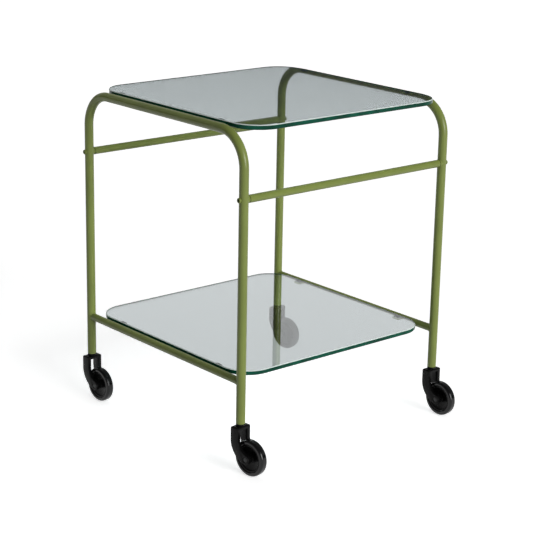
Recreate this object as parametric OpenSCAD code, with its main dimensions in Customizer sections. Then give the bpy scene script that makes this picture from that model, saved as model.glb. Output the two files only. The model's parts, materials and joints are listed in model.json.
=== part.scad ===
// Serving cart: two hoops of bent tube, two bolted cross rails, two glass shelves, four swivel casters.
// Millimetres. The floor is z = 0, +Z is up, and the front of the cart faces -Y.

/* [Frame] */
// Outside diameter of the tube that the hoops are bent from
hoop_od = 19; // [18:0.5:22]
// Wall of the hoop tube
hoop_wall = 1.5; // [1:0.1:1.8]
// Distance between the axes of the left and right hoops
hoop_spacing = 540; // [460:5:640]
// Distance between the axes of the two legs of a hoop
leg_spacing = 520; // [460:5:640]
// Height of the axis of a hoop's top bar
bar_z = 686; // [640:1:800]
// Bend radius at the axis of the hoop tube
bend_r = 70; // [50:1:80]
// Outside diameter of the shelf rails and cross rails
rail_od = 16; // [14:0.5:18]
// Wall of the shelf rails and cross rails
rail_wall = 1.5; // [1:0.1:1.8]
// Height of the axis of the two cross rails
cross_rail_z = 558.5; // [450:0.5:570]
// Height of the axis of the two shelf rails
shelf_rail_z = 189; // [180:0.5:240]

/* [Fasteners] */
// Thread diameter of the cross rail screws
screw_d = 6; // [4:0.5:6]
// Length of a screw under its head
screw_l = 38; // [30:1:40]
// Diameter of the domed screw head
screw_head_d = 10.5; // [9:0.5:12]
// Height of the domed screw head
screw_head_h = 3.3; // [2.5:0.1:3.6]
// Width across the flats of the socket in the screw head
screw_hex = 4; // [2.5:0.5:5]
// Depth of the socket in the screw head
screw_hex_depth = 1.8; // [1:0.1:2]
// Length of the threaded insert in each end of a cross rail
insert_l = 22; // [18:1:30]

/* [Shelves] */
// Thickness of the glass panes
glass_t = 10; // [8:0.5:12]
// Height of the upper pane's top face above the hoops' top
upper_pane_rise = 3; // [2:0.5:5]
// Height of the lower pane's top face above the shelf rails' top
lower_pane_rise = 1.5; // [0.5:0.5:3]
// Offset of the upper pane from the middle of the cart, towards the rear
upper_pane_y = -14; // [-16:1:16]
// Offset of the lower pane from the middle of the cart, towards the rear
lower_pane_y = 6; // [-16:1:16]
// Distance from a pane's left or right edge to the axis of the bar beside it
glass_side_inset = 11.5; // [11:0.5:20]
// Distance from a pane's front or rear edge to the plane of the leg axes
glass_end_inset = 3.5; // [0:0.5:20]
// Radius of the corners of a pane
glass_corner_r = 60; // [40:1:90]
// Width of the ground bevel along the edges of a pane
glass_bevel = 1.5; // [0.5:0.1:2.5]

/* [Shelf tabs] */
// Distance along the rail from each tab to the axis of the leg beside it
tab_inset = 95; // [82:1:150]
// Length of a tab along its rail
tab_l = 20; // [14:1:30]
// Thickness of a tab
tab_t = 3; // [2:0.5:4]
// Reach of a tab past the edge of the pane
tab_reach = 12.5; // [11:0.5:20]
// Radius of the two free corners of a tab
tab_corner_r = 4; // [2:0.5:6]
// Thickness of the soft bumper between a tab and its pane
pad_t = 2; // [1:0.5:2]
// Margin of a bumper inside the outline of its tab
pad_margin = 1.5; // [1:0.5:3]

/* [Casters] */
// Diameter of a wheel over its tyre
wheel_d = 75; // [70:1:78]
// Width of a tyre
tyre_w = 17; // [12:0.5:17.5]
// Radius of the rounded shoulders of a tyre
tyre_shoulder_r = 5; // [2:0.5:5.5]
// Width of the chamfer where a tyre's side meets the rim
tyre_lip = 1.2; // [0.5:0.1:1.5]
// Diameter of the rim that carries the tyre
rim_d = 58; // [50:1:62]
// Width of the rim
rim_w = 13; // [11:0.5:15]
// Width of the chamfers on the hub and the rim
wheel_edge = 0.6; // [0.2:0.1:1]
// Inner diameter of the rim's ring
rim_bore = 50; // [44:1:54]
// Thickness of the wheel's web at the rim
web_rim_t = 9; // [6:0.5:10]
// Thickness of the wheel's web at the hub
web_hub_t = 6; // [4:0.5:8]
// Diameter of the wheel's hub
hub_d = 17; // [14:0.5:22]
// Horizontal distance from the swivel axis to the axle
trail = 30; // [24:1:32]
// Diameter of the axle
axle_d = 6; // [5:0.5:8]
// Diameter of an axle's riveted ends
axle_head_d = 10; // [9:0.5:12]
// Height of an axle's riveted ends
axle_head_h = 1.6; // [1:0.1:2.2]
// Depth of the pockets in the fork for the riveted ends
axle_pocket_h = 2; // [1.4:0.1:3]
// Width of the fork over its arms
fork_w = 36; // [34:0.5:42]
// Depth of the fork's head along the trail
fork_d = 20; // [16:0.5:22]
// Width of the slot for the wheel
slot_w = 20; // [18.5:0.5:21]
// Thickness of the fork's crown over the slot
crown_t = 7; // [6:0.5:10]
// Radius of the fork's bent arms at their middle line
arm_bend_r = 36; // [30:1:42]
// Diameter of the boss round the axle
boss_d = 20; // [18:0.5:24]
// Radius of the four upper edges of the fork's head
fork_edge_r = 3; // [1:0.5:4]

/* [Caster stems] */
// Height of a leg's open end above the floor
leg_end_z = 103; // [100:0.5:110]
// Thickness of the socket's flange under the leg
flange_t = 4; // [2:0.5:5]
// Length of the socket inside the leg
socket_l = 32; // [26:1:50]
// Diameter of the steel stem
stem_d = 8; // [7:0.5:10]
// Length of the stem above the leg's end
stem_l = 27; // [24:1:40]
// Diameter of the stem's lower head in its pocket over the slot
stem_head_d = 13; // [12:0.5:16]
// Height of the stem's lower head
stem_head_h = 2; // [1.5:0.5:3]
// Thickness of the snap ring that holds the stem in its socket
ring_t = 1.5; // [1:0.1:2]
// Width of the snap ring's band
ring_band = 1.6; // [1.2:0.1:2]
// Depth of the snap ring's groove in the stem
ring_groove = 0.8; // [0.4:0.1:1]
// Height of the snap ring above the leg's end
ring_z = 18; // [12:1:20]
// Gap between the ends of the snap ring, in degrees
ring_gap_angle = 40; // [20:5:90]

/* [Swivel at rest] */
// Direction in which the front left wheel trails, in degrees from +X
front_left_turn = -83; // [-180:1:180]
// Direction in which the front right wheel trails
front_right_turn = -88; // [-180:1:180]
// Direction in which the rear left wheel trails
rear_left_turn = -87; // [-180:1:180]
// Direction in which the rear right wheel trails
rear_right_turn = -82; // [-180:1:180]

/* [Clearances] */
// Gap around a piece that is fixed in or welded to another
seat_gap = 0.05; // [0.02:0.01:0.1]
// Radial running clearance of a bore on its pin
run_gap = 0.05; // [0.02:0.01:0.1]
// Running clearance between faces that turn past each other
face_gap = 0.4; // [0.3:0.05:0.5]

/* [Hidden] */
$fn = 64;
eps = 1;
hoop_x = hoop_spacing / 2;
leg_y = leg_spacing / 2;
hoop_bore = hoop_od - 2 * hoop_wall;
rail_bore = rail_od - 2 * rail_wall;
bend_start_z = bar_z - bend_r;
bar_half = leg_y - bend_r;
glass_w = hoop_spacing - 2 * glass_side_inset;
glass_d = leg_spacing - 2 * glass_end_inset;
upper_shelf_z = bar_z + hoop_od / 2 + upper_pane_rise;
lower_shelf_z = shelf_rail_z + rail_od / 2 + lower_pane_rise;
tab_inner_x = glass_w / 2 - tab_reach;
tab_y = leg_y - tab_inset;

wheel_r = wheel_d / 2;
slot_top = leg_end_z - flange_t - face_gap - crown_t;
fork_top = slot_top + crown_t;
arm_bend_z = wheel_r + sqrt(pow(arm_bend_r, 2) - pow(arm_bend_r - trail, 2));
arm_sweep = acos((arm_bend_r - trail) / arm_bend_r);
hub_l = slot_w - 2 * face_gap;
stem_pocket_h = stem_head_h + face_gap;
ring_inner_r = stem_d / 2 - ring_groove + seat_gap;
ring_outer_r = ring_inner_r + ring_band;

LEFT = -1;
RIGHT = 1;
FRONT = -1;
REAR = 1;

// Each caster: its name, its corner of the cart and the direction in which its wheel trails.
CASTERS = [
    ["front_left", LEFT, FRONT, front_left_turn],
    ["front_right", RIGHT, FRONT, front_right_turn],
    ["rear_left", LEFT, REAR, rear_left_turn],
    ["rear_right", RIGHT, REAR, rear_right_turn]
];
// Each tab: its name, its side of the cart and its end of the rail.
TABS = [
    ["front_left", LEFT, FRONT],
    ["front_right", RIGHT, FRONT],
    ["rear_left", LEFT, REAR],
    ["rear_right", RIGHT, REAR]
];
CASTER_PIECES = ["socket", "stem", "snap_ring", "fork", "axle", "wheel", "tyre"];

// How far a caster with its wheel turned to an angle reaches from its stem along a direction.
function tyre_reach(turn, dir) =
    trail * cos(turn - dir)
    + (wheel_r - tyre_shoulder_r) * abs(cos(turn - dir))
    + (tyre_w / 2 - tyre_shoulder_r) * abs(sin(turn - dir))
    + tyre_shoulder_r;
function head_reach(turn, dir) =
    fork_d / 2 * abs(cos(turn - dir)) + fork_w / 2 * abs(sin(turn - dir));
function boss_reach(turn, dir) =
    trail * cos(turn - dir) + boss_d / 2 * abs(cos(turn - dir)) + fork_w / 2 * abs(sin(turn - dir));
function caster_reach(turn, dir) =
    max(tyre_reach(turn, dir), head_reach(turn, dir), boss_reach(turn, dir));
function side_reach(dir, own, end) =
    max([for (c = CASTERS) if (c[own] == end) caster_reach(c[3], dir)]);
function bar_or_caster(reach) = max(hoop_od / 2, reach);

// The origin is the middle of everything's outline on the floor, wheels at rest.
left_edge = hoop_x + max(hoop_od / 2 + screw_head_h, side_reach(180, 1, LEFT));
right_edge = hoop_x + max(hoop_od / 2 + screw_head_h, side_reach(0, 1, RIGHT));
front_edge = leg_y + bar_or_caster(side_reach(-90, 2, FRONT));
rear_edge = leg_y + bar_or_caster(side_reach(90, 2, REAR));
origin_x = (right_edge - left_edge) / 2;
origin_y = (rear_edge - front_edge) / 2;

frame_green = [0.48, 0.54, 0.31];
glass_tint = [0.55, 0.68, 0.66, 0.45];
bumper_grey = [0.62, 0.68, 0.66];
nylon_black = [0.1, 0.1, 0.1];
tyre_black = [0.06, 0.06, 0.06];
bare_steel = [0.7, 0.71, 0.72];

module on_floor() {
    translate([-origin_x, -origin_y, 0])
        children();
}

module at_caster(c) {
    on_floor()
        translate([c[1] * hoop_x, c[2] * leg_y, 0])
            rotate([0, 0, c[3]])
                children();
}

// A cylinder along Y from the middle of the cart's depth outwards on both sides.
module bar_along_y(d, l) {
    rotate([90, 0, 0])
        cylinder(d = d, h = l, center = true);
}

module bar_along_x(d, l) {
    rotate([0, 90, 0])
        cylinder(d = d, h = l, center = true);
}

module hoop_rod(d, foot_z) {
    translate([0, 0, bar_z])
        bar_along_y(d, 2 * bar_half);
    for (end = [FRONT, REAR]) {
        translate([0, end * leg_y, foot_z])
            cylinder(d = d, h = bend_start_z - foot_z);
        mirror([0, end == FRONT ? 1 : 0, 0])
            translate([0, bar_half, bend_start_z])
                rotate([90, 0, 90])
                    rotate_extrude(angle = 90)
                        translate([bend_r, 0])
                            circle(d = d);
    }
}

module hoop(side) {
    color(frame_green)
        on_floor()
            translate([side * hoop_x, 0, 0])
                difference() {
                    hoop_rod(hoop_od, leg_end_z);
                    hoop_rod(hoop_bore, leg_end_z - eps);
                    for (end = [FRONT, REAR])
                        translate([0, end * leg_y, cross_rail_z])
                            bar_along_x(screw_d + 2 * seat_gap, hoop_od + 2 * eps);
                }
}

// The ends of a rail are cut to the round of the legs that they meet.
module shelf_rail(side) {
    color(frame_green)
        on_floor()
            translate([side * hoop_x, 0, 0])
                difference() {
                    translate([0, 0, shelf_rail_z])
                        difference() {
                            bar_along_y(rail_od, leg_spacing);
                            bar_along_y(rail_bore, leg_spacing + eps);
                        }
                    for (end = [FRONT, REAR])
                        translate([0, end * leg_y, shelf_rail_z - rail_od])
                            cylinder(d = hoop_od + 2 * seat_gap, h = 2 * rail_od);
                }
}

module cross_rail(end) {
    color(frame_green)
        on_floor()
            translate([0, end * leg_y, 0])
                difference() {
                    translate([0, 0, cross_rail_z])
                        difference() {
                            bar_along_x(rail_od, hoop_spacing);
                            bar_along_x(rail_bore, hoop_spacing + eps);
                        }
                    for (side = [LEFT, RIGHT])
                        translate([side * hoop_x, 0, cross_rail_z - rail_od])
                            cylinder(d = hoop_od + 2 * seat_gap, h = 2 * rail_od);
                }
}

// Puts its children at the four ends of the cross rails, with +X pointing out of the rail.
module at_rail_ends() {
    on_floor()
        for (side = [LEFT, RIGHT], end = [FRONT, REAR])
            translate([side * hoop_x, end * leg_y, cross_rail_z])
                mirror([side == LEFT ? 1 : 0, 0, 0])
                    children();
}

module rail_end_inserts() {
    color(bare_steel)
        at_rail_ends()
            translate([-hoop_od / 2 - seat_gap, 0, 0])
                rotate([0, -90, 0])
                    difference() {
                        cylinder(d = rail_bore - 2 * seat_gap, h = insert_l);
                        translate([0, 0, -eps])
                            cylinder(d = screw_d + 2 * seat_gap, h = insert_l + 2 * eps);
                    }
}

module cross_rail_screws() {
    dome_r = (pow(screw_head_d / 2, 2) + pow(screw_head_h, 2)) / (2 * screw_head_h);
    color(frame_green)
        at_rail_ends()
            translate([hoop_od / 2, 0, 0])
                rotate([0, 90, 0])
                    difference() {
                        union() {
                            translate([0, 0, -screw_l])
                                cylinder(d = screw_d, h = screw_l);
                            intersection() {
                                translate([0, 0, screw_head_h - dome_r])
                                    sphere(r = dome_r);
                                cylinder(d = screw_head_d + eps, h = screw_head_h + eps);
                            }
                        }
                        translate([0, 0, screw_head_h - screw_hex_depth])
                            cylinder(d = screw_hex / cos(30), h = screw_head_h, $fn = 6);
                    }
}

// Half of the outline of a pane's edge, from its middle plane's centre line out to an edge at x.
function pane_edge(x) = [
    [0, 0],
    [x - glass_bevel, 0],
    [x, glass_bevel],
    [x, glass_t - glass_bevel],
    [x - glass_bevel, glass_t],
    [0, glass_t]
];

module pane_strip(half_w, l) {
    rotate([90, 0, 0])
        linear_extrude(l, center = true) {
            polygon(pane_edge(half_w));
            mirror([1, 0])
                polygon(pane_edge(half_w));
        }
}

module pane(top_z, y) {
    color(glass_tint)
        on_floor()
            translate([0, y, top_z - glass_t]) {
                pane_strip(glass_w / 2, glass_d - 2 * glass_corner_r);
                rotate([0, 0, 90])
                    pane_strip(glass_d / 2, glass_w - 2 * glass_corner_r);
                for (side = [LEFT, RIGHT], end = [FRONT, REAR])
                    mirror([side == LEFT ? 1 : 0, 0, 0])
                        mirror([0, end == FRONT ? 1 : 0, 0])
                            translate([glass_w / 2 - glass_corner_r, glass_d / 2 - glass_corner_r, 0])
                                rotate_extrude(angle = 90)
                                    polygon(pane_edge(glass_corner_r));
            }
}

// A plate that reaches from the axis of its rail inwards, with its two free corners rounded.
module tab_outline(inset) {
    x0 = tab_inner_x + inset;
    half_l = tab_l / 2 - inset;
    corner = tab_corner_r - inset / 2;
    translate([x0 + corner, -half_l])
        square([hoop_x - x0 - corner, 2 * half_l]);
    translate([x0, corner - half_l])
        square([2 * corner, 2 * (half_l - corner)]);
    for (end = [-1, 1])
        translate([x0 + corner, end * (half_l - corner)])
            circle(r = corner);
}

module at_tab(side, end) {
    on_floor()
        mirror([side == LEFT ? 1 : 0, 0, 0])
            translate([0, end * tab_y, 0])
                children();
}

// The tab is cut to the round of the bar or rail that it is welded to.
module tab(side, end, pane_top, axis_z, d) {
    color(frame_green)
        at_tab(side, end)
            difference() {
                translate([0, 0, pane_top - glass_t - pad_t - tab_t])
                    linear_extrude(tab_t)
                        tab_outline(0);
                translate([hoop_x, 0, axis_z])
                    bar_along_y(d + 2 * seat_gap, 2 * tab_l);
            }
}

module upper_tab(t) {
    tab(t[1], t[2], upper_shelf_z, bar_z, hoop_od);
}

module lower_tab(t) {
    tab(t[1], t[2], lower_shelf_z, shelf_rail_z, rail_od);
}

module bumpers(pane_top) {
    color(bumper_grey)
        for (t = TABS)
            at_tab(t[1], t[2])
                translate([0, 0, pane_top - glass_t - pad_t])
                    linear_extrude(pad_t)
                        intersection() {
                            tab_outline(pad_margin);
                            translate([0, -tab_l])
                                square([glass_w / 2 - pad_margin, 2 * tab_l]);
                        }
}

module socket() {
    color(nylon_black)
        difference() {
            union() {
                translate([0, 0, leg_end_z - flange_t])
                    cylinder(d = hoop_od, h = flange_t);
                translate([0, 0, leg_end_z])
                    cylinder(d = hoop_bore - 2 * seat_gap, h = socket_l);
            }
            translate([0, 0, leg_end_z - flange_t - eps])
                cylinder(d = stem_d + 2 * seat_gap, h = flange_t + socket_l + 2 * eps);
            translate([0, 0, leg_end_z + ring_z - seat_gap])
                cylinder(r = ring_outer_r + seat_gap, h = ring_t + 2 * seat_gap);
        }
}

module stem() {
    color(bare_steel)
        difference() {
            union() {
                translate([0, 0, slot_top])
                    cylinder(d = stem_head_d, h = stem_head_h);
                translate([0, 0, slot_top])
                    cylinder(d = stem_d, h = leg_end_z + stem_l - slot_top);
            }
            translate([0, 0, leg_end_z + ring_z - seat_gap])
                difference() {
                    cylinder(d = stem_d + eps, h = ring_t + 2 * seat_gap);
                    translate([0, 0, -eps])
                        cylinder(d = stem_d - 2 * ring_groove, h = ring_t + 2 * eps);
                }
        }
}

module snap_ring() {
    color(bare_steel)
        translate([0, 0, leg_end_z + ring_z])
            rotate_extrude(angle = 360 - ring_gap_angle)
                translate([ring_inner_r, 0])
                    square([ring_band, ring_t]);
}

// What rounds the upper edge of the fork's head that lies along X at a distance from its axis.
module head_edge(y) {
    translate([0, y - fork_edge_r, fork_top - fork_edge_r])
        difference() {
            translate([-fork_w, 0, 0])
                cube([2 * fork_w, 2 * fork_edge_r, 2 * fork_edge_r]);
            bar_along_x(2 * fork_edge_r, 2 * fork_w + eps);
        }
}

// The fork trails along +X and its axle lies along Y.
module fork_blank() {
    translate([-fork_d / 2, -fork_w / 2, arm_bend_z])
        cube([fork_d, fork_w, fork_top - arm_bend_z]);
    translate([arm_bend_r, 0, arm_bend_z])
        rotate([90, 180, 0])
            rotate_extrude(angle = arm_sweep)
                translate([arm_bend_r - fork_d / 2, -fork_w / 2])
                    square([fork_d, fork_w]);
    translate([trail, 0, wheel_r])
        bar_along_y(boss_d, fork_w);
}

module fork() {
    color(nylon_black)
        difference() {
            fork_blank();
            translate([-fork_d, -slot_w / 2, 0])
                cube([trail + 2 * fork_d + boss_d, slot_w, slot_top]);
            translate([0, 0, slot_top - eps])
                cylinder(d = stem_d + 2 * run_gap, h = crown_t + 2 * eps);
            translate([0, 0, slot_top - eps])
                cylinder(d = stem_head_d + 2 * face_gap, h = stem_pocket_h + eps);
            translate([trail, 0, wheel_r])
                bar_along_y(axle_d + 2 * seat_gap, fork_w + eps);
            for (side = [-1, 1])
                translate([trail, side * (fork_w / 2 - axle_pocket_h / 2 + eps / 2), wheel_r])
                    bar_along_y(axle_head_d + 2 * seat_gap, axle_pocket_h + eps);
            for (side = [0, 180])
                rotate([0, 0, side]) {
                    head_edge(fork_w / 2);
                    rotate([0, 0, 90])
                        head_edge(fork_d / 2);
                }
        }
}

module axle() {
    color(bare_steel)
        translate([trail, 0, wheel_r]) {
            bar_along_y(axle_d, fork_w - 2 * axle_pocket_h);
            for (side = [-1, 1])
                translate([0, side * (fork_w / 2 - axle_pocket_h + axle_head_h / 2), 0])
                    bar_along_y(axle_head_d, axle_head_h);
        }
}

// Half of the wheel's section, from the axle bore out to the rim, on one side of its middle plane.
function wheel_half_section(side) = [
    [axle_d / 2 + run_gap, side * hub_l / 2],
    [hub_d / 2 - wheel_edge, side * hub_l / 2],
    [hub_d / 2, side * (hub_l / 2 - wheel_edge)],
    [hub_d / 2, side * web_hub_t / 2],
    [rim_bore / 2, side * web_rim_t / 2],
    [rim_bore / 2, side * (rim_w / 2 - wheel_edge)],
    [rim_bore / 2 + wheel_edge, side * rim_w / 2],
    [rim_d / 2 - wheel_edge, side * rim_w / 2],
    [rim_d / 2, side * (rim_w / 2 - wheel_edge)]
];

module wheel() {
    near = wheel_half_section(-1);
    far = wheel_half_section(1);
    color(nylon_black)
        translate([trail, 0, wheel_r])
            rotate([90, 0, 0])
                rotate_extrude()
                    polygon(concat(near, [for (i = [len(far) - 1 : -1 : 0]) far[i]]));
}

// The tyre's section is a band with its two outer shoulders rounded and its seat cut to the rim.
module tyre_section() {
    tread_r = wheel_r - tyre_shoulder_r;
    seat_r = rim_d / 2 + seat_gap;
    difference() {
        union() {
            translate([0, -tyre_w / 2])
                square([tread_r, tyre_w]);
            translate([0, tyre_shoulder_r - tyre_w / 2])
                square([wheel_r, tyre_w - 2 * tyre_shoulder_r]);
            for (side = [-1, 1])
                translate([tread_r, side * (tyre_w / 2 - tyre_shoulder_r)])
                    circle(r = tyre_shoulder_r);
        }
        translate([-eps, -tyre_w])
            square([seat_r + eps, 2 * tyre_w]);
        for (side = [-1, 1])
            polygon([
                [seat_r - eps, side * (tyre_w / 2 - tyre_lip - eps)],
                [seat_r - eps, side * (tyre_w / 2 + eps)],
                [seat_r + tyre_lip + eps, side * (tyre_w / 2 + eps)]
            ]);
    }
}

module tyre() {
    color(tyre_black)
        translate([trail, 0, wheel_r])
            rotate([90, 0, 0])
                rotate_extrude()
                    tyre_section();
}

hoop(LEFT);  // left_hoop
hoop(RIGHT);  // right_hoop
shelf_rail(LEFT);  // left_shelf_rail
shelf_rail(RIGHT);  // right_shelf_rail
cross_rail(FRONT);  // front_cross_rail
cross_rail(REAR);  // rear_cross_rail
rail_end_inserts();
cross_rail_screws();
pane(upper_shelf_z, upper_pane_y);  // upper_glass
pane(lower_shelf_z, lower_pane_y);  // lower_glass
bumpers(upper_shelf_z);  // upper_glass_bumpers
bumpers(lower_shelf_z);  // lower_glass_bumpers
for (t = TABS) {
    upper_tab(t);
    lower_tab(t);
}
for (c = CASTERS) {
    at_caster(c) socket();
    at_caster(c) stem();
    at_caster(c) snap_ring();
    at_caster(c) fork();
    at_caster(c) axle();
    at_caster(c) wheel();
    at_caster(c) tyre();
}
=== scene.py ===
# A serving cart of bent green tube with two glass shelves on swivel casters.
import json
import math

import bmesh
import bpy
from mathutils import Matrix, Vector


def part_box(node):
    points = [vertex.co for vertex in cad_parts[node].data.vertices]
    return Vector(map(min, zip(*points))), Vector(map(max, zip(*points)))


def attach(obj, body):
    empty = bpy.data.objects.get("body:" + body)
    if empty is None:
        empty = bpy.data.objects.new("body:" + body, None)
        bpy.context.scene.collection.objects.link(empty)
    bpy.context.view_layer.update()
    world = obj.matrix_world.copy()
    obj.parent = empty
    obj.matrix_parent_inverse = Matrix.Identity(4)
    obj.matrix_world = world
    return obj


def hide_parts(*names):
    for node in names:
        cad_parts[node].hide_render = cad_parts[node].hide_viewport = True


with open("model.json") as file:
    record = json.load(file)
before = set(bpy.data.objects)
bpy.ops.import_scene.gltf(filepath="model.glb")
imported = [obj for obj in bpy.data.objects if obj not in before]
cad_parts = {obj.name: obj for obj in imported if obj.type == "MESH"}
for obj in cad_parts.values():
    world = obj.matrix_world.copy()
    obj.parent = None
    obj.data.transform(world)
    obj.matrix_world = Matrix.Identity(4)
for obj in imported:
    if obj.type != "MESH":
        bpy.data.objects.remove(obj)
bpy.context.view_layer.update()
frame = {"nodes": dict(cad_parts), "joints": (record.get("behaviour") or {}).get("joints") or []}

MM = 0.001
AXIS_X = Vector((1, 0, 0))
AXIS_Y = Vector((0, 1, 0))
AXIS_Z = Vector((0, 0, 1))

# The frame's sizes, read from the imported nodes
JOINTS = {j["name"]: j for j in frame["joints"]}
CORNERS = ("front_left", "front_right", "rear_left", "rear_right")


def middle(node):
    """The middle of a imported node's box."""
    low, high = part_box(node)
    return (low + high) / 2


def extent(node):
    """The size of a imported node's box."""
    low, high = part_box(node)
    return high - low


HOOP_X = {side: middle(side + "_hoop").x for side in ("left", "right")}
HOOP_R = extent("left_hoop").x / 2
RAIL_R = extent("left_shelf_rail").x / 2
BAR_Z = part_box("left_hoop")[1].z - HOOP_R
LEG_END_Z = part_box("left_hoop")[0].z
FRONT_LEG_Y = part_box("left_hoop")[0].y + HOOP_R
REAR_LEG_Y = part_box("left_hoop")[1].y - HOOP_R
SHELF_RAIL_Z = middle("left_shelf_rail").z
CART_MIDDLE = Vector(((HOOP_X["left"] + HOOP_X["right"]) / 2, (FRONT_LEG_Y + REAR_LEG_Y) / 2, 0))
CROSS_RAIL_Z = middle("front_cross_rail").z
LEG_Y = {"front": FRONT_LEG_Y, "rear": REAR_LEG_Y}

# Sizes that the node boxes don't give
BEND_R = 70 * MM
WALL = 1.5 * MM
GLASS_CORNER_R = 60 * MM
GLASS_BEVEL = 1.5 * MM
# Sides of the round tubes, and steps of their bends
RING_SIDES = 56
BEND_STEPS = 28
# Degrees up to which an edge is shaded smooth, where a piece says nothing else
SMOOTH_ANGLE = 35
# The same for pieces with eased edges
EASED_ANGLE = 40
# Degrees from which an edge is bevelled
BEVEL_ANGLE = 30
# Degrees under which neighbouring facets count as one flat face
FLAT_ANGLE = 1
# Lengths under which points are the same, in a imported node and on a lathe's axis
TINY = 1e-6
MERGE_DISTANCE = 1e-7


# Meshes


def mesh_object(name, verts, faces, materials, smooth_angle=SMOOTH_ANGLE):
    """An object made of points in world space, its faces turned outwards."""
    mesh = bpy.data.meshes.new(name)
    mesh.from_pydata([tuple(v) for v in verts], [], faces)
    for material in materials:
        mesh.materials.append(material)
    mesh.validate()
    obj = bpy.data.objects.new(name, mesh)
    bpy.context.scene.collection.objects.link(obj)
    tidy_mesh(obj, smooth_angle)
    return obj


def tidy_mesh(obj, smooth_angle, merge=False):
    """Turns the faces outwards, after joining the points that coincide if merge is set."""
    shape = bmesh.new()
    shape.from_mesh(obj.data)
    if merge:
        bmesh.ops.remove_doubles(shape, verts=shape.verts, dist=MERGE_DISTANCE)
    bmesh.ops.recalc_face_normals(shape, faces=shape.faces)
    shape.to_mesh(obj.data)
    shape.free()
    smooth(obj, smooth_angle)


def smooth(obj, angle):
    """Shades an object smooth, but for the edges that are sharper than angle."""
    mesh = obj.data
    mesh.polygons.foreach_set("use_smooth", [True] * len(mesh.polygons))
    mesh.set_sharp_from_angle(angle=math.radians(angle))
    mesh.update()


def apply_modifiers(obj):
    """Gives an object the mesh that its modifiers make."""
    bpy.context.view_layer.update()
    graph = bpy.context.evaluated_depsgraph_get()
    baked = bpy.data.meshes.new_from_object(obj.evaluated_get(graph))
    obj.modifiers.clear()
    obj.data = baked


def bevel(obj, width, segments):
    """Eases the sharp edges of an object."""
    step = obj.modifiers.new("edge", "BEVEL")
    step.width = width
    step.segments = segments
    step.limit_method = "ANGLE"
    step.angle_limit = math.radians(BEVEL_ANGLE)
    step.use_clamp_overlap = True
    apply_modifiers(obj)


def cut(obj, tool):
    """Takes the tool's form away from an object, and then the tool itself."""
    step = obj.modifiers.new("cut", "BOOLEAN")
    step.operation = "DIFFERENCE"
    step.solver = "EXACT"
    step.object = tool
    apply_modifiers(obj)
    bpy.data.objects.remove(tool)


def ring_faces(rings, sides, closed_path=False):
    """The quads between rings of points that follow each other in one list."""
    faces = []
    last = rings if closed_path else rings - 1
    for i in range(last):
        a = i * sides
        b = ((i + 1) % rings) * sides
        for k in range(sides):
            n = (k + 1) % sides
            faces.append((a + k, a + n, b + n, b + k))
    return faces


def planar_sweep(path, radius, normal, sides=RING_SIDES):
    """Rings of points round a path that lies in the plane square to normal."""
    verts = []
    for i, point in enumerate(path):
        before = path[max(i - 1, 0)]
        after = path[min(i + 1, len(path) - 1)]
        tangent = (after - before).normalized()
        across = tangent.cross(normal).normalized()
        for k in range(sides):
            turn = 2 * math.pi * k / sides
            verts.append(point + radius * (math.cos(turn) * normal + math.sin(turn) * across))
    return verts


def lathe(name, profile, materials, centre, axis, segments):
    """Turns a profile of (radius, height) points about axis through centre.
    A profile that starts and ends on the axis is left open there, and any other is closed."""
    solid = profile[0][0] == 0 and profile[-1][0] == 0
    side = axis.orthogonal().normalized()
    across = axis.cross(side)
    verts = []
    for s in range(segments):
        turn = 2 * math.pi * s / segments
        out = math.cos(turn) * side + math.sin(turn) * across
        for radius, height in profile:
            verts.append(centre + radius * out + height * axis)
    faces = ring_faces(segments, len(profile), closed_path=True)
    if solid:
        faces = [face for i, face in enumerate(faces) if (i + 1) % len(profile)]
    piece = mesh_object(name, verts, faces, materials)
    if solid:
        tidy_mesh(piece, SMOOTH_ANGLE, merge=True)
    return piece


def joined(name, parts):
    """One object that holds the meshes of several, which all have the same materials."""
    shape = bmesh.new()
    for part in parts:
        shape.from_mesh(part.data)
    whole = bpy.data.objects.new(name, bpy.data.meshes.new(name))
    for material in parts[0].data.materials:
        whole.data.materials.append(material)
    shape.to_mesh(whole.data)
    shape.free()
    bpy.context.scene.collection.objects.link(whole)
    for part in parts:
        bpy.data.objects.remove(part)
    return whole


def arc(centre, radius, start, end, steps):
    """Points of a circle's arc in a plane, from one angle to another, in degrees."""
    points = []
    for i in range(steps + 1):
        turn = math.radians(start + (end - start) * i / steps)
        points.append((centre[0] + radius * math.cos(turn), centre[1] + radius * math.sin(turn)))
    return points


def cylinder_tool(centre, axis, radius, length, sides=48):
    """A closed cylinder about its centre, to cut with."""
    side = axis.orthogonal().normalized()
    verts = []
    for end in (-0.5, 0.5):
        for k in range(sides):
            turn = Matrix.Rotation(2 * math.pi * k / sides, 3, axis)
            verts.append(centre + turn @ side * radius + axis * length * end)
    faces = ring_faces(2, sides)
    faces.append(tuple(range(sides)))
    faces.append(tuple(range(2 * sides - 1, sides - 1, -1)))
    return mesh_object("tool", verts, faces, [])


# Materials

# Most of a noise lies between these values
NOISE_RANGE = (0.35, 0.65)


def principled(name, color, roughness, **sockets):
    """A material with constant values, and its shader."""
    material = bpy.data.materials.new(name)
    material.use_nodes = True
    shader = material.node_tree.nodes["Principled BSDF"]
    shader.inputs["Base Color"].default_value = (*color, 1)
    shader.inputs["Roughness"].default_value = roughness
    for socket, value in sockets.items():
        shader.inputs[socket.replace("_", " ")].default_value = value
    return material, shader


def new_node(material, kind, **inputs):
    """A node of a material, with values on its inputs."""
    node = material.node_tree.nodes.new(kind)
    for socket, value in inputs.items():
        node.inputs[socket].default_value = value
    return node


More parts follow.
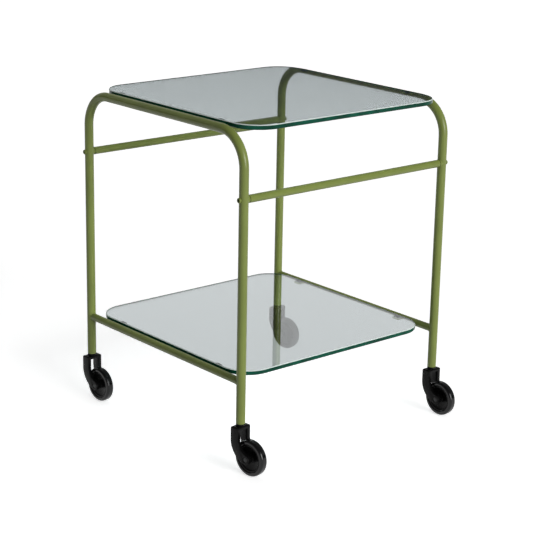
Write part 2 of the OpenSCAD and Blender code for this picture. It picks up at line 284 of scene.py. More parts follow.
def noise(material, scale, detail):
    """A noise that is fixed to the object, from 0 to 1."""
    spot = new_node(material, "ShaderNodeTexCoord")
    texture = new_node(material, "ShaderNodeTexNoise", Scale=scale, Detail=detail)
    material.node_tree.links.new(spot.outputs["Object"], texture.inputs["Vector"])
    return texture.outputs["Fac"]


def vary_color(material, shader, fac, dark, light):
    """Lets a noise move the colour between a dark and a light one."""
    ramp = material.node_tree.nodes.new("ShaderNodeValToRGB")
    for stop, position, color in zip(ramp.color_ramp.elements, NOISE_RANGE, (dark, light)):
        stop.position = position
        stop.color = (*color, 1)
    material.node_tree.links.new(fac, ramp.inputs["Fac"])
    material.node_tree.links.new(ramp.outputs["Color"], shader.inputs["Base Color"])


def vary_roughness(material, shader, fac, low, high):
    """Lets a noise move the roughness between two values."""
    spread = new_node(material, "ShaderNodeMapRange", **{"To Min": low, "To Max": high})
    material.node_tree.links.new(fac, spread.inputs["Value"])
    material.node_tree.links.new(spread.outputs["Result"], shader.inputs["Roughness"])


def add_bump(material, shader, height, strength, distance):
    """Lets a noise ruffle the surface, by a distance in metres."""
    bump = new_node(material, "ShaderNodeBump", Strength=strength, Distance=distance)
    material.node_tree.links.new(height, bump.inputs["Height"])
    material.node_tree.links.new(bump.outputs["Normal"], shader.inputs["Normal"])


def linear(r, g, b):
    """A colour given as 0 to 255 sRGB, in the shader's linear values."""
    out = []
    for value in (r, g, b):
        c = value / 255
        out.append(c / 12.92 if c <= 0.04045 else ((c + 0.055) / 1.055) ** 2.4)
    return tuple(out)


def scaled(color, factor):
    """A colour made darker or lighter."""
    return tuple(c * factor for c in color)


def powder_coat(name, color):
    """Satin powder coat with a fine orange peel."""
    material, shader = principled(name, color, roughness=0.3, Specular_IOR_Level=0.35)
    cloud = noise(material, scale=14, detail=3)
    vary_color(material, shader, cloud, dark=scaled(color, 0.94), light=scaled(color, 1.06))
    peel = noise(material, scale=900, detail=2)
    vary_roughness(material, shader, peel, low=0.26, high=0.36)
    add_bump(material, shader, peel, strength=0.12, distance=0.0002)
    return material


def moulded_plastic(name, color, roughness, gloss):
    """Plastic or rubber with the fine grain of a mould."""
    material, shader = principled(name, color, roughness, Specular_IOR_Level=gloss)
    cloud = noise(material, scale=60, detail=4)
    vary_color(material, shader, cloud, dark=scaled(color, 0.85), light=scaled(color, 1.2))
    grain = noise(material, scale=2400, detail=3)
    vary_roughness(material, shader, grain, low=roughness - 0.06, high=roughness + 0.08)
    add_bump(material, shader, grain, strength=0.18, distance=0.00015)
    return material


def plated_steel(name, color):
    """Zinc plated steel, brushed a little."""
    material, shader = principled(name, color, roughness=0.3, Metallic=1.0)
    streak = noise(material, scale=500, detail=4)
    vary_roughness(material, shader, streak, low=0.22, high=0.42)
    add_bump(material, shader, streak, strength=0.08, distance=0.0001)
    return material


def glass_body(name, color):
    """The clear faces of a pane, tinted a little."""
    return principled(name, color, roughness=0.0, Transmission_Weight=1.0, IOR=1.52)[0]


def glass_edge(name, color):
    """A pane's polished edge, in the dark green of light that came far through the glass."""
    material, shader = principled(name, color, roughness=0.16, Specular_IOR_Level=0.1)
    depth = noise(material, scale=30, detail=2)
    vary_color(material, shader, depth, dark=scaled(color, 0.7), light=scaled(color, 1.35))
    return material


def glass_arris(name, color):
    """The finely ground bevel between a pane's upper face and its edge, near white: its ground
    grain, and a painted highlight for the light that it catches.
    """
    material, shader = principled(name, color, roughness=0.35)
    grind = noise(material, scale=700, detail=2)
    vary_color(material, shader, grind, dark=scaled(color, 0.92), light=color)
    add_bump(material, shader, grind, strength=0.1, distance=0.0001)
    return material


OLIVE = linear(125, 138, 68)
NYLON = linear(14, 14, 14)
TREAD = linear(13, 13, 14)
# Dark steel: the axle rivets' own colour, and painted shade in the rails' joint grooves and the
# screws' sockets
BLACK_STEEL_AND_SHADE = linear(34, 34, 36)
ZINC = linear(200, 202, 205)
BUMPER = linear(70, 98, 102)
GLASS_TINT = (0.84, 0.92, 0.935)
GLASS_EDGE = linear(4, 72, 54)
# The upper bevel's near white is partly ground glass and partly a painted highlight
GLASS_ARRIS = linear(232, 245, 241)

paint = powder_coat("olive_powder_coat", OLIVE)
nylon = moulded_plastic("black_nylon", NYLON, roughness=0.24, gloss=0.1)
tread = moulded_plastic("black_tread", TREAD, roughness=0.14, gloss=0.35)
black_steel = powder_coat("black_steel", BLACK_STEEL_AND_SHADE)
steel = plated_steel("zinc_plated_steel", ZINC)
bumper = moulded_plastic("soft_bumper", BUMPER, roughness=0.5, gloss=0.4)
pane_faces = glass_body("clear_glass", GLASS_TINT)
pane_edge = glass_edge("polished_glass_edge", GLASS_EDGE)
pane_arris = glass_arris("ground_glass_arris_painted_highlight", GLASS_ARRIS)


def finish_node(node, material):
    """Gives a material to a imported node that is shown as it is."""
    slots = frame["nodes"][node].material_slots
    for slot in slots:
        slot.material = material


def place(piece, body, slot, *nodes):
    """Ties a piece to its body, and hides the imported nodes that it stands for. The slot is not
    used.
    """
    if nodes:
        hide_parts(*nodes)
    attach(piece, body)


def eased(node, name, material, slot, width):
    """A copy of a node's mesh, its flat faces made whole and its sharp edges eased."""
    source = frame["nodes"][node]
    shape = bmesh.new()
    shape.from_mesh(source.data)
    shape.transform(source.matrix_world)
    bmesh.ops.remove_doubles(shape, verts=shape.verts, dist=TINY)
    bmesh.ops.dissolve_limit(
        shape, angle_limit=math.radians(FLAT_ANGLE), verts=shape.verts, edges=shape.edges
    )
    mesh = bpy.data.meshes.new(name)
    shape.to_mesh(mesh)
    shape.free()
    mesh.materials.clear()
    mesh.materials.append(material)
    piece = bpy.data.objects.new(name, mesh)
    bpy.context.scene.collection.objects.link(piece)
    bevel(piece, width, segments=2)
    smooth(piece, EASED_ANGLE)
    place(piece, "frame", slot, node)


# The frame of bent and straight tube


def hoop_path(x):
    """The axis of a hoop, from the open end of the front leg round to that of the rear leg."""
    bend_z = BAR_Z - BEND_R
    leg_middle_z = (LEG_END_Z + bend_z) / 2
    points = [(FRONT_LEG_Y, LEG_END_Z), (FRONT_LEG_Y, leg_middle_z)]
    points += arc((FRONT_LEG_Y + BEND_R, bend_z), BEND_R, 180, 90, BEND_STEPS)
    points += arc((REAR_LEG_Y - BEND_R, bend_z), BEND_R, 90, 0, BEND_STEPS)
    points += [(REAR_LEG_Y, leg_middle_z), (REAR_LEG_Y, LEG_END_Z)]
    return [Vector((x, y, z)) for y, z in points]


def hoop(side):
    """Two legs, two bends and the bar between them, as one hollow tube with open ends."""
    path = hoop_path(HOOP_X[side])
    outer = planar_sweep(path, HOOP_R, AXIS_X)
    inner = planar_sweep(path, HOOP_R - WALL, AXIS_X)
    count = len(outer)
    faces = ring_faces(len(path), RING_SIDES)
    faces += [tuple(count + v for v in reversed(face)) for face in faces]
    for start in (0, count - RING_SIDES):
        for k in range(RING_SIDES):
            n = (k + 1) % RING_SIDES
            faces.append((start + k, start + n, count + start + n, count + start + k))
    piece = mesh_object(side + "_hoop_tube", outer + inner, faces, [paint], smooth_angle=50)
    place(piece, "frame", "frame_paint", side + "_hoop")


# The joint line near each end of a cross rail, a groove whose faces are painted dark: a dark seal,
# and painted shade deeper than the groove's own. Its distance from the leg, width and depth
JOINT_AT = 1 * MM
JOINT_W = 1.2 * MM
JOINT_DEPTH = 1 * MM
# The rings of faces that are in a joint line, counted from the rail's start
JOINT_BANDS = (1, 2, 3, 5, 6, 7)


def coped_rail(name, node, start, end, jointed=False):
    """A rail between the axes of two legs, coped to them, with joint lines if jointed."""
    along = (end - start).normalized()
    across = along.cross(AXIS_Z)
    steps = [(0, RAIL_R)]
    if jointed:
        near = HOOP_R + JOINT_AT
        far = near + JOINT_W
        floor_r = RAIL_R - JOINT_DEPTH
        steps += [(near, RAIL_R), (near, floor_r), (far, floor_r), (far, RAIL_R)]
    rings = [(start, 1, step) for step in steps]
    rings += [(end, -1, step) for step in reversed(steps)]
    verts = []
    for base, sign, (reach, radius) in rings:
        for k in range(RING_SIDES):
            turn = 2 * math.pi * k / RING_SIDES
            out = math.cos(turn) * across + math.sin(turn) * AXIS_Z
            cope = math.sqrt(HOOP_R**2 - (RAIL_R * math.cos(turn)) ** 2)
            verts.append(base + radius * out + sign * (reach or cope) * along)
    faces = ring_faces(len(rings), RING_SIDES)
    last = (len(rings) - 1) * RING_SIDES
    for base, sign, first in ((start, 1, 0), (end, -1, last)):
        verts.append(base + sign * HOOP_R * along)
        for k in range(RING_SIDES):
            faces.append((first + k, first + (k + 1) % RING_SIDES, len(verts) - 1))
    piece = mesh_object(name, verts, faces, [paint, black_steel], smooth_angle=60)
    # The joint line's faces get the dark steel colour, as painted shade in the groove over a dark
    # seal
    if jointed:
        for band in JOINT_BANDS:
            for k in range(RING_SIDES):
                piece.data.polygons[band * RING_SIDES + k].material_index = 1
    place(piece, "frame", "frame_paint", node)


BEAD_R = 1.1 * MM
BEAD_STEPS = 120
BEAD_SIDES = 10
# How much the bead swells, as a part of its radius, and over how many steps
RIPPLE = 0.12
RIPPLE_STEPS = 5


def weld_bead(name, leg, along):
    """A bead round the seam where a rail that runs along meets the upright leg at leg."""
    across = along.cross(AXIS_Z)
    verts = []
    for i in range(BEAD_STEPS):
        turn = 2 * math.pi * i / BEAD_STEPS
        reach = math.sqrt(HOOP_R**2 - (RAIL_R * math.cos(turn)) ** 2)
        out = math.cos(turn) * across + math.sin(turn) * AXIS_Z
        seam = leg + RAIL_R * out + reach * along
        from_leg = Vector((seam.x - leg.x, seam.y - leg.y, 0)).normalized()
        fat = BEAD_R * (1 + RIPPLE * math.sin(2 * math.pi * i / RIPPLE_STEPS))
        for k in range(BEAD_SIDES):
            a = 2 * math.pi * k / BEAD_SIDES
            verts.append(seam + fat * (math.cos(a) * out + math.sin(a) * from_leg))
    faces = ring_faces(BEAD_STEPS, BEAD_SIDES, closed_path=True)
    piece = mesh_object(name, verts, faces, [paint], smooth_angle=80)
    place(piece, "frame", "frame_paint")


for side, x in HOOP_X.items():
    hoop(side)
    start = Vector((x, FRONT_LEG_Y, SHELF_RAIL_Z))
    end = Vector((x, REAR_LEG_Y, SHELF_RAIL_Z))
    coped_rail(side + "_shelf_rail_tube", side + "_shelf_rail", start, end)
    weld_bead(side + "_front_shelf_rail_weld", start, AXIS_Y)
    weld_bead(side + "_rear_shelf_rail_weld", end, -AXIS_Y)

for end, y in LEG_Y.items():
    coped_rail(
        end + "_cross_rail_tube",
        end + "_cross_rail",
        Vector((HOOP_X["left"], y, CROSS_RAIL_Z)),
        Vector((HOOP_X["right"], y, CROSS_RAIL_Z)),
        jointed=True,
    )


# Round headed screws with a hexagon socket, four in one piece

SCREW_R = 3 * MM
SCREW_L = 38 * MM
SCREW_TIP = 0.6 * MM
HEAD_R = 5.25 * MM
HEAD_FOOT = 0.3 * MM
HEAD_H = 4.1 * MM
HEAD_ROUND_R = 1.6 * MM
HEX_R = 2.9 * MM
HEX_DEPTH = 2.6 * MM
# Heights between which the socket's faces have their middles. These faces are painted dark: painted
# shade in the recess, over the bare steel inside it
HEX_LOW = HEAD_H - 1.1 * HEX_DEPTH
HEX_HIGH = HEAD_H - 0.2 * HEX_DEPTH


def screw(base, axis):
    """A screw whose head stands on base and whose shank runs back along axis."""
    profile = [(0, -SCREW_L), (SCREW_R - SCREW_TIP, -SCREW_L), (SCREW_R, -SCREW_L + SCREW_TIP)]
    profile += [(SCREW_R, 0), (HEAD_R - HEAD_FOOT, 0), (HEAD_R, HEAD_FOOT)]
    corner = (HEAD_R - HEAD_ROUND_R, HEAD_H - HEAD_ROUND_R)
    profile += arc(corner, HEAD_ROUND_R, 0, 90, steps=8)
    profile += [(0, HEAD_H)]
    piece = lathe("screw", profile, [paint], base, axis, segments=64)
    cut(piece, cylinder_tool(base + HEAD_H * axis, axis, HEX_R, 2 * HEX_DEPTH, sides=6))
    # The socket's faces get the dark steel colour: painted shade in the recess, over the bare steel
    # inside it
    piece.data.materials.append(black_steel)
    for face in piece.data.polygons:
        rise = (face.center - base).dot(axis)
        out = (face.center - base - rise * axis).length
        if out < HEX_R and HEX_LOW < rise < HEX_HIGH:
            face.material_index = 1
    smooth(piece, SMOOTH_ANGLE)
    return piece


def cross_rail_screws():
    """The four screws, with their heads on the outer sides of the legs."""
    screws = []
    for side, sign in (("left", -1), ("right", 1)):
        for y in LEG_Y.values():
            base = Vector((HOOP_X[side] + sign * HOOP_R, y, CROSS_RAIL_Z))
            screws.append(screw(base, sign * AXIS_X))
    piece = joined("cross_rail_screw_set", screws)
    smooth(piece, SMOOTH_ANGLE)
    place(piece, "frame", "screw_paint", "cross_rail_screws")


cross_rail_screws()


# Glass panes

CORNER_STEPS = 20
# How far up a face looks, from 0 to 1, if it is a pane's flat face or its upper bevel. The upward
# bevel gets the near white arris colour as a painted highlight, the lower bevel the dark edge
# colour
FLAT_RISE = 0.9
BEVEL_RISE = 0.3
# How much the edges of the pieces under the panes are eased
BUMPER_EDGE = 0.4 * MM
TAB_EDGE = 0.5 * MM


def rounded_outline(size, corner_r):
    """Points round a rectangle with round corners, about its middle, anticlockwise."""
    points = []
    for sx, sy, start in ((1, 1, 0), (-1, 1, 90), (-1, -1, 180), (1, -1, 270)):
        centre = (sx * (size[0] / 2 - corner_r), sy * (size[1] / 2 - corner_r))
        points += arc(centre, corner_r, start, start + 90, CORNER_STEPS)
    return points


def pane(level):
    """A plate with round corners and bevels, and a material for faces, edge and upper bevel, the
    upper bevel painted near white as a highlight.
    """
    node = level + "_glass"
    low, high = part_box(node)
    size = high - low
    centre = (low + high) / 2
    edge = [
        (GLASS_BEVEL, low.z),
        (0, low.z + GLASS_BEVEL),
        (0, high.z - GLASS_BEVEL),
        (GLASS_BEVEL, high.z),
    ]
    verts = []
    for inset, z in edge:
        outline = rounded_outline((size.x - 2 * inset, size.y - 2 * inset), GLASS_CORNER_R - inset)
        verts += [Vector((centre.x + x, centre.y + y, z)) for x, y in outline]
    sides = len(outline)
    faces = ring_faces(len(edge), sides)
    faces.append(tuple(reversed(range(sides))))
    faces.append(tuple(range(3 * sides, 4 * sides)))
    materials = [pane_faces, pane_edge, pane_arris]
    piece = mesh_object(level + "_glass_pane", verts, faces, materials, smooth_angle=30)
    # Faces that look up on the bevel get the painted highlight of the arris colour
    for face in piece.data.polygons:
        rise = face.normal.z
        face.material_index = 0 if abs(rise) > FLAT_RISE else 2 if rise > BEVEL_RISE else 1
    place(piece, "frame", "clear_glass", node)


for level in ("upper", "lower"):
    pane(level)
    eased(level + "_glass_bumpers", level + "_bumper_set", bumper, "soft_bumper", BUMPER_EDGE)
    for corner in CORNERS:
        tab = f"{level}_{corner}_tab"
        eased(tab, tab + "_plate", paint, "frame_paint", TAB_EDGE)

finish_node("rail_end_inserts", steel)


# Casters. Each is built with its swivel axis on Z, its trail along X and its axle along Y.

FORK_W = 36 * MM
FORK_D = 20 * MM
SLOT_W = 20 * MM
CROWN_T = 7 * MM
HEAD_EDGE_R = 3 * MM
ARM_BEND_R = 36 * MM
BOSS_R = 10 * MM
FORK_EDGE = 0.6 * MM
# Steps of the arm's leading and trailing arcs and of the boss
ARM_STEPS = (22, 18)
BOSS_STEPS = 30
AXLE_POCKET_R = 5.05 * MM
AXLE_POCKET = 2 * MM
STEM_BORE_R = 4.05 * MM
STEM_POCKET_R = 6.9 * MM
STEM_POCKET_H = 2.4 * MM
AXLE_PIN_R = 3 * MM
RIVET_R = 4.95 * MM
RIVET_H = 1.6 * MM
RIVET_EYE_R = 0.3 * MM
# The rounding of a rivet's head, as parts of its radius and height
RIVET_ROUND = (0.6, 0.55)
HUB_BORE_R = 3.05 * MM
HUB_R = 8.5 * MM
HUB_EDGE = 0.6 * MM
HUB_GAP = 0.4 * MM
# Radius and half thickness of the wheel in mm, from the hub to the rim
WHEEL_SECTION = (
    (8.5, 4.0),
    (9.5, 3.0),
    (23.4, 4.4),
    (24.6, 4.9),
    (25.0, 5.9),
    (25.6, 6.5),
    (28.4, 6.5),
)
# Half thickness of the rim under the tyre
RIM_LIP = 5.9 * MM
TYRE_SHOULDER_R = 5 * MM
TYRE_FOOT = 1.2 * MM
TYRE_GAP = 0.05 * MM
SOCKET_EDGE = 0.5 * MM
FORK_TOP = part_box("front_left_fork")[1].z
WHEEL_R = extent("front_left_tyre").z / 2
RIM_R = extent("front_left_wheel").z / 2


def joint_point(name):
    """The place of a joint at rest."""
    return Vector(JOINTS[name]["pos_m"])


def trail_of(corner):
    """The level step from a caster's swivel axis to its axle."""
    step = joint_point(corner + "_spin") - joint_point(corner + "_swivel")
    return Vector((step.x, step.y, 0))


TRAIL = trail_of("front_left").length
AXLE_MIDDLE = Vector((TRAIL, 0, WHEEL_R))


def caster_place(corner):
    """The matrix that carries a caster from its own axes to its corner of the cart."""
    stem = joint_point(corner + "_swivel")
    out = trail_of(corner)
    turn = math.atan2(out.y, out.x)
    return Matrix.Translation((stem.x, stem.y, 0)) @ Matrix.Rotation(turn, 4, "Z")


def place_in_caster(corner, piece, body, slot, node):
    """Carries a piece from a caster's own axes to its corner, and ties it to its body."""
    piece.data.transform(caster_place(corner))
    place(piece, f"{corner}_{body}", slot, f"{corner}_{node}")


def meeting_turn(radius):
    """The angle at the bend's centre from the boss to where an arc of this radius meets it."""
    cosine = (radius**2 + ARM_BEND_R**2 - BOSS_R**2) / (2 * radius * ARM_BEND_R)
    return math.degrees(math.acos(min(cosine, 1)))


def angle_about(centre, point):
    """The direction from one point of a plane to another, in degrees from 0 to 360."""
    return math.degrees(math.atan2(point[1] - centre[1], point[0] - centre[0])) % 360


def fork_outline():
    """The fork's side view: an upright head, an arm bent through an arc and a round boss."""
    bend = (ARM_BEND_R, WHEEL_R + math.sqrt(ARM_BEND_R**2 - (ARM_BEND_R - TRAIL) ** 2))
    axle = (TRAIL, WHEEL_R)
    sweep = math.degrees(math.acos((ARM_BEND_R - TRAIL) / ARM_BEND_R))
    half = FORK_D / 2
    slot_top = FORK_TOP - CROWN_T
    outer_r, inner_r = ARM_BEND_R + half, ARM_BEND_R - half
    leading = arc(bend, outer_r, 180, 180 + sweep - meeting_turn(outer_r), ARM_STEPS[0])
    trailing = arc(bend, inner_r, 180 + sweep - meeting_turn(inner_r), 180, ARM_STEPS[1])
    boss_start = angle_about(axle, leading[-1])
    boss_end = angle_about(axle, trailing[0]) + 360
    boss = arc(axle, BOSS_R, boss_start, boss_end, BOSS_STEPS)
    head = [(half, slot_top), (half, FORK_TOP), (-half, FORK_TOP), (-half, slot_top)]
    return head + leading + boss[1:-1] + trailing


def round_head(obj):
    """Rounds the four upper edges of the fork's head, before its other edges are eased."""
    shape = bmesh.new()
    shape.from_mesh(obj.data)
    rim = []
    for edge in shape.edges:
        a, b = (v.co for v in edge.verts)
        if min(a.z, b.z) < FORK_TOP - TINY:
            continue
        on_side = min(abs(a.y), abs(b.y)) > FORK_W / 2 - TINY
        on_end = abs(a.x - b.x) < TINY
        if on_side or on_end:
            rim.append(edge)
    bmesh.ops.bevel(
        shape, geom=rim, offset=HEAD_EDGE_R, segments=6, profile=0.5, affect="EDGES"
    )
    shape.to_mesh(obj.data)
    shape.free()


def fork_piece(corner):
    """The fork: its outline as four layers, of which the outer pairs are the arms."""
    outline = fork_outline()
    n = len(outline)
    slot_top = FORK_TOP - CROWN_T
    layers = (-FORK_W / 2, -SLOT_W / 2, SLOT_W / 2, FORK_W / 2)
    verts = [Vector((x, y, z)) for y in layers for x, z in outline]
    faces = []
    for layer, inner in ((0, False), (1, True), (2, False)):
        for k in range(n):
            m = (k + 1) % n
            crown = min(outline[k][1], outline[m][1]) >= slot_top - TINY
            if inner and not crown:
                continue
            a = layer * n
            faces.append((a + k, a + m, a + n + m, a + n + k))
    faces.append(tuple(range(n)))
    faces.append(tuple(reversed(range(3 * n, 4 * n))))
    order = [*range(3, n), 0]
    faces.append(tuple(n + k for k in reversed(order)))
    faces.append(tuple(2 * n + k for k in order))
    faces.append((n, n + 3, 2 * n + 3, 2 * n))
    piece = mesh_object(corner + "_fork_moulding", verts, faces, [nylon], 30)
    round_head(piece)
    roof = Vector((0, 0, slot_top))
    cut(piece, cylinder_tool(roof, AXIS_Z, STEM_BORE_R, 4 * CROWN_T))
    cut(piece, cylinder_tool(roof, AXIS_Z, STEM_POCKET_R, 2 * STEM_POCKET_H))
    for side in (-1, 1):
        centre = Vector((TRAIL, side * FORK_W / 2, WHEEL_R))
        cut(piece, cylinder_tool(centre, AXIS_Y, AXLE_POCKET_R, 2 * AXLE_POCKET))
    bevel(piece, FORK_EDGE, segments=3)
    smooth(piece, EASED_ANGLE)
    place_in_caster(corner, piece, "caster", "black_nylon", "fork")


def mirrored(half_profile):
    """A closed profile from its half on the near side of the middle plane."""
    return half_profile + [(r, -z) for r, z in reversed(half_profile)]


def axle_piece(corner):
    """The axle, a pin with a riveted head in the pocket of each arm."""
    seat = FORK_W / 2 - AXLE_POCKET
    half = [
        (RIVET_EYE_R, -seat - RIVET_H),
        (RIVET_R * RIVET_ROUND[0], -seat - RIVET_H),
        (RIVET_R, -seat - RIVET_H * RIVET_ROUND[1]),
        (RIVET_R, -seat),
        (AXLE_PIN_R, -seat),
    ]
    name = corner + "_axle_rivet"
    piece = lathe(name, mirrored(half), [black_steel], AXLE_MIDDLE, AXIS_Y, segments=48)
    place_in_caster(corner, piece, "caster", "black_steel", "axle")


def extent_along_axle(corner, part):
    """How wide a node of a caster is along its axle."""
    axle = Vector(JOINTS[corner + "_spin"]["axis"]).normalized()
    along = [v.co.dot(axle) for v in frame["nodes"][corner + part].data.vertices]
    return max(along) - min(along)


def wheel_piece(corner):
    """The wheel: a long hub, a web that thickens outwards and a wide rim."""
    hub_half = SLOT_W / 2 - HUB_GAP
    half = [(HUB_BORE_R, -hub_half), (HUB_R - HUB_EDGE, -hub_half), (HUB_R, -hub_half + HUB_EDGE)]
    half += [(r * MM, -z * MM) for r, z in WHEEL_SECTION]
    half.append((RIM_R, -RIM_LIP))
    name = corner + "_wheel_disc"
    piece = lathe(name, mirrored(half), [nylon], AXLE_MIDDLE, AXIS_Y, segments=96)
    place_in_caster(corner, piece, "roller", "black_nylon", "wheel")


def tyre_piece(corner):
    """The tyre: a ring with a flat foot on the rim and two round shoulders."""
    half_w = extent_along_axle(corner, "_tyre") / 2
    seat = RIM_R + TYRE_GAP
    half = [(seat, -half_w + TYRE_FOOT), (seat + TYRE_FOOT, -half_w)]
    centre = (WHEEL_R - TYRE_SHOULDER_R, -half_w + TYRE_SHOULDER_R)
    half += arc(centre, TYRE_SHOULDER_R, 270, 360, steps=12)
    name = corner + "_tyre_tread"
    piece = lathe(name, mirrored(half), [tread], AXLE_MIDDLE, AXIS_Y, segments=128)
    place_in_caster(corner, piece, "roller", "black_tread", "tyre")


for corner in CORNERS:
    fork_piece(corner)
    axle_piece(corner)
    wheel_piece(corner)
    tyre_piece(corner)
    eased(corner + "_socket", corner + "_socket_plug", nylon, "black_nylon", SOCKET_EDGE)
    finish_node(corner + "_stem", steel)
    finish_node(corner + "_snap_ring", steel)


# Floor, light and camera

WHITE = (1, 1, 1, 1)
# Half the floor's width in metres
FLOOR_REACH = 60
# The floor's colour where it is seen, and the part of its light that it throws on the cart
FLOOR_WHITE = 0.98
FLOOR_BOUNCE = 0.3
# Its own light where it is seen, and the colour that it loses where a pane shows it
FLOOR_LIFT = 0.6
THROUGH_DIM = 0.27
# Distance from the middle of the cart and own light of the floor as the panes show it
FLOOR_NEAR = (1.0, 0.47)
FLOOR_FAR = (2.6, 1.0)
# Elevation in degrees and brightness of the studio's dome behind the cart
DOME = ((0, 0.02), (12.5, 0.03), (16, 0.95), (21, 0.95), (30, 0.3), (90, 0.2))
# What is left of that brightness in front of the cart
DOME_FRONT = 0.4
# The direction from the cart in which the dome is full
DOME_BACK = (0.65, 0.76, 0)
# How far along that direction the brightness starts to grow, and where it is full
DOME_GROWS = (-0.1, 0.7)
# Lamps: azimuth and elevation in degrees, strength, softness in degrees, seen in reflections
KEY_LIGHT = (3, 17, 2.6, 34, True)
FILL_LIGHT = (176, 12, 0.8, 40, False)
# The camera's azimuth, elevation and roll in degrees, its place from the middle of the cart
# in metres, and its sensor and lens in mm
CAMERA_TURN = (-40.49, 16.591, 1.098)
CAMERA_PLACE = Vector((-2.1619, -2.5491, 1.3099))
CAMERA_SENSOR = 36
CAMERA_LENS = 108.381
CAMERA_REACH = 200


def joined_values(tree, operation, first, second):
    """The output of a maths node that works on two outputs, or on an output and a number."""
    node = tree.nodes.new("ShaderNodeMath")
    node.operation = operation
    tree.links.new(first, node.inputs[0])
    if isinstance(second, float):
        node.inputs[1].default_value = second
    else:
        tree.links.new(second, node.inputs[1])
    return node.outputs[0]


def light_through_glass(tree, through):
    """The floor's own light where a pane shows it: full far away, greyer near the cart."""
    spot = tree.nodes.new("ShaderNodeNewGeometry")
    distance = tree.nodes.new("ShaderNodeVectorMath")
    distance.operation = "LENGTH"
    tree.links.new(spot.outputs["Position"], distance.inputs[0])
    falloff = tree.nodes.new("ShaderNodeMapRange")
    falloff.inputs["From Min"].default_value, falloff.inputs["To Min"].default_value = FLOOR_NEAR
    falloff.inputs["From Max"].default_value, falloff.inputs["To Max"].default_value = FLOOR_FAR
    tree.links.new(distance.outputs["Value"], falloff.inputs["Value"])
    return joined_values(tree, "MULTIPLY", falloff.outputs["Result"], through)


def studio_floor():
    """A white sheet that throws back only part of the light that falls on it."""
    verts = [(x * FLOOR_REACH, y * FLOOR_REACH, 0) for x, y in ((-1, -1), (1, -1), (1, 1), (-1, 1))]
    material, shader = principled("studio_floor", WHITE[:3], roughness=0.9, Specular_IOR_Level=0.0)
    tree = material.node_tree
    path = tree.nodes.new("ShaderNodeLightPath").outputs
    seen = joined_values(tree, "SUBTRACT", path["Is Glossy Ray"], path["Is Transmission Ray"])
    seen = joined_values(tree, "MAXIMUM", seen, path["Is Camera Ray"])
    color = joined_values(tree, "MULTIPLY", seen, FLOOR_WHITE)
    color = joined_values(tree, "MAXIMUM", color, FLOOR_BOUNCE)
    dimmed = joined_values(tree, "MULTIPLY", path["Is Transmission Ray"], THROUGH_DIM)
    color = joined_values(tree, "SUBTRACT", color, dimmed)
    lift = joined_values(tree, "MULTIPLY", seen, FLOOR_LIFT)
    through = light_through_glass(tree, path["Is Transmission Ray"])
    lift = joined_values(tree, "ADD", lift, through)
    shader.inputs["Emission Color"].default_value = WHITE
    tree.links.new(color, shader.inputs["Base Color"])
    tree.links.new(lift, shader.inputs["Emission Strength"])
    mesh_object("studio_floor", verts, [(0, 1, 2, 3)], [material])


def toward(azimuth, elevation):
    """The direction from the cart to what stands at an azimuth, from the front, and elevation."""
    a, e = math.radians(azimuth), math.radians(elevation)
    return Vector((math.sin(a) * math.cos(e), -math.cos(a) * math.cos(e), math.sin(e)))


def sun(name, azimuth, elevation, strength, softness, reflected):
    """A soft lamp that shines from a compass direction, measured like the camera's."""
    lamp = bpy.data.lights.new(name, "SUN")
    lamp.energy = strength
    lamp.angle = math.radians(softness)
    holder = bpy.data.objects.new(name, lamp)
    holder.rotation_euler = toward(azimuth, elevation).to_track_quat("Z", "Y").to_euler()
    holder.visible_glossy = reflected
    bpy.context.scene.collection.objects.link(holder)


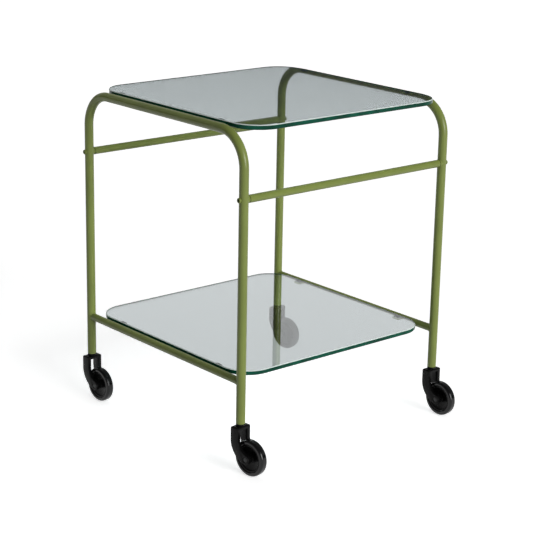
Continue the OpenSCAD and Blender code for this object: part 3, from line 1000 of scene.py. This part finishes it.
def studio_world():
    """A white backdrop for the camera, and a grey dome with a bright band for all else."""
    world = bpy.data.worlds.new("studio")
    world.use_nodes = True
    tree = world.node_tree
    background = tree.nodes["Background"]
    sky = tree.nodes.new("ShaderNodeTexCoord")
    direction = tree.nodes.new("ShaderNodeSeparateXYZ")
    dome = tree.nodes.new("ShaderNodeValToRGB")
    dome.color_ramp.elements.remove(dome.color_ramp.elements[1])
    stops = dome.color_ramp.elements
    for i, (elevation, level) in enumerate(DOME):
        height = math.sin(math.radians(elevation))
        stop = stops[0] if i == 0 else stops.new(height)
        stop.position = height
        stop.color = (level, level, level, 1)
    tone = tree.nodes.new("ShaderNodeMix")
    tone.data_type = "RGBA"
    tone.inputs["B"].default_value = WHITE
    tree.links.new(sky.outputs["Generated"], direction.inputs["Vector"])
    tree.links.new(direction.outputs["Z"], dome.inputs["Fac"])
    behind = tree.nodes.new("ShaderNodeVectorMath")
    behind.operation = "DOT_PRODUCT"
    behind.inputs[1].default_value = DOME_BACK
    tree.links.new(sky.outputs["Generated"], behind.inputs[0])
    sides = tree.nodes.new("ShaderNodeMapRange")
    sides.inputs["From Min"].default_value = DOME_GROWS[0]
    sides.inputs["From Max"].default_value = DOME_GROWS[1]
    sides.inputs["To Min"].default_value = DOME_FRONT
    tree.links.new(behind.outputs["Value"], sides.inputs["Value"])
    level = joined_values(tree, "MULTIPLY", dome.outputs["Color"], sides.outputs["Result"])
    tree.links.new(level, tone.inputs["A"])
    path = tree.nodes.new("ShaderNodeLightPath").outputs
    straight = joined_values(tree, "LESS_THAN", path["Glossy Depth"], 0.5)
    through = joined_values(tree, "MULTIPLY", path["Is Transmission Ray"], straight)
    seen = joined_values(tree, "MAXIMUM", path["Is Camera Ray"], through)
    tree.links.new(seen, tone.inputs["Factor"])
    tree.links.new(tone.outputs["Result"], background.inputs["Color"])
    background.inputs["Strength"].default_value = 1
    bpy.context.scene.world = world


def camera():
    """The photograph's view, from the front left and a little above the upper pane."""
    azimuth, elevation, roll = CAMERA_TURN
    roll = math.radians(roll)
    back = toward(azimuth, elevation)
    right = AXIS_Z.cross(back).normalized()
    up = back.cross(right)
    right_rolled = right * math.cos(roll) + up * math.sin(roll)
    up_rolled = up * math.cos(roll) - right * math.sin(roll)
    lens = bpy.data.cameras.new("camera")
    lens.sensor_width = CAMERA_SENSOR
    lens.lens = CAMERA_LENS
    lens.clip_end = CAMERA_REACH
    view = bpy.data.objects.new("camera", lens)
    eye = CART_MIDDLE + CAMERA_PLACE
    turned = Matrix((right_rolled, up_rolled, back)).transposed().to_4x4()
    view.matrix_world = Matrix.Translation(eye) @ turned
    bpy.context.scene.collection.objects.link(view)
    bpy.context.scene.camera = view


studio_floor()
studio_world()
sun("key_light", *KEY_LIGHT)
sun("fill_light", *FILL_LIGHT)
camera()
bpy.context.scene.view_settings.view_transform = "Standard"
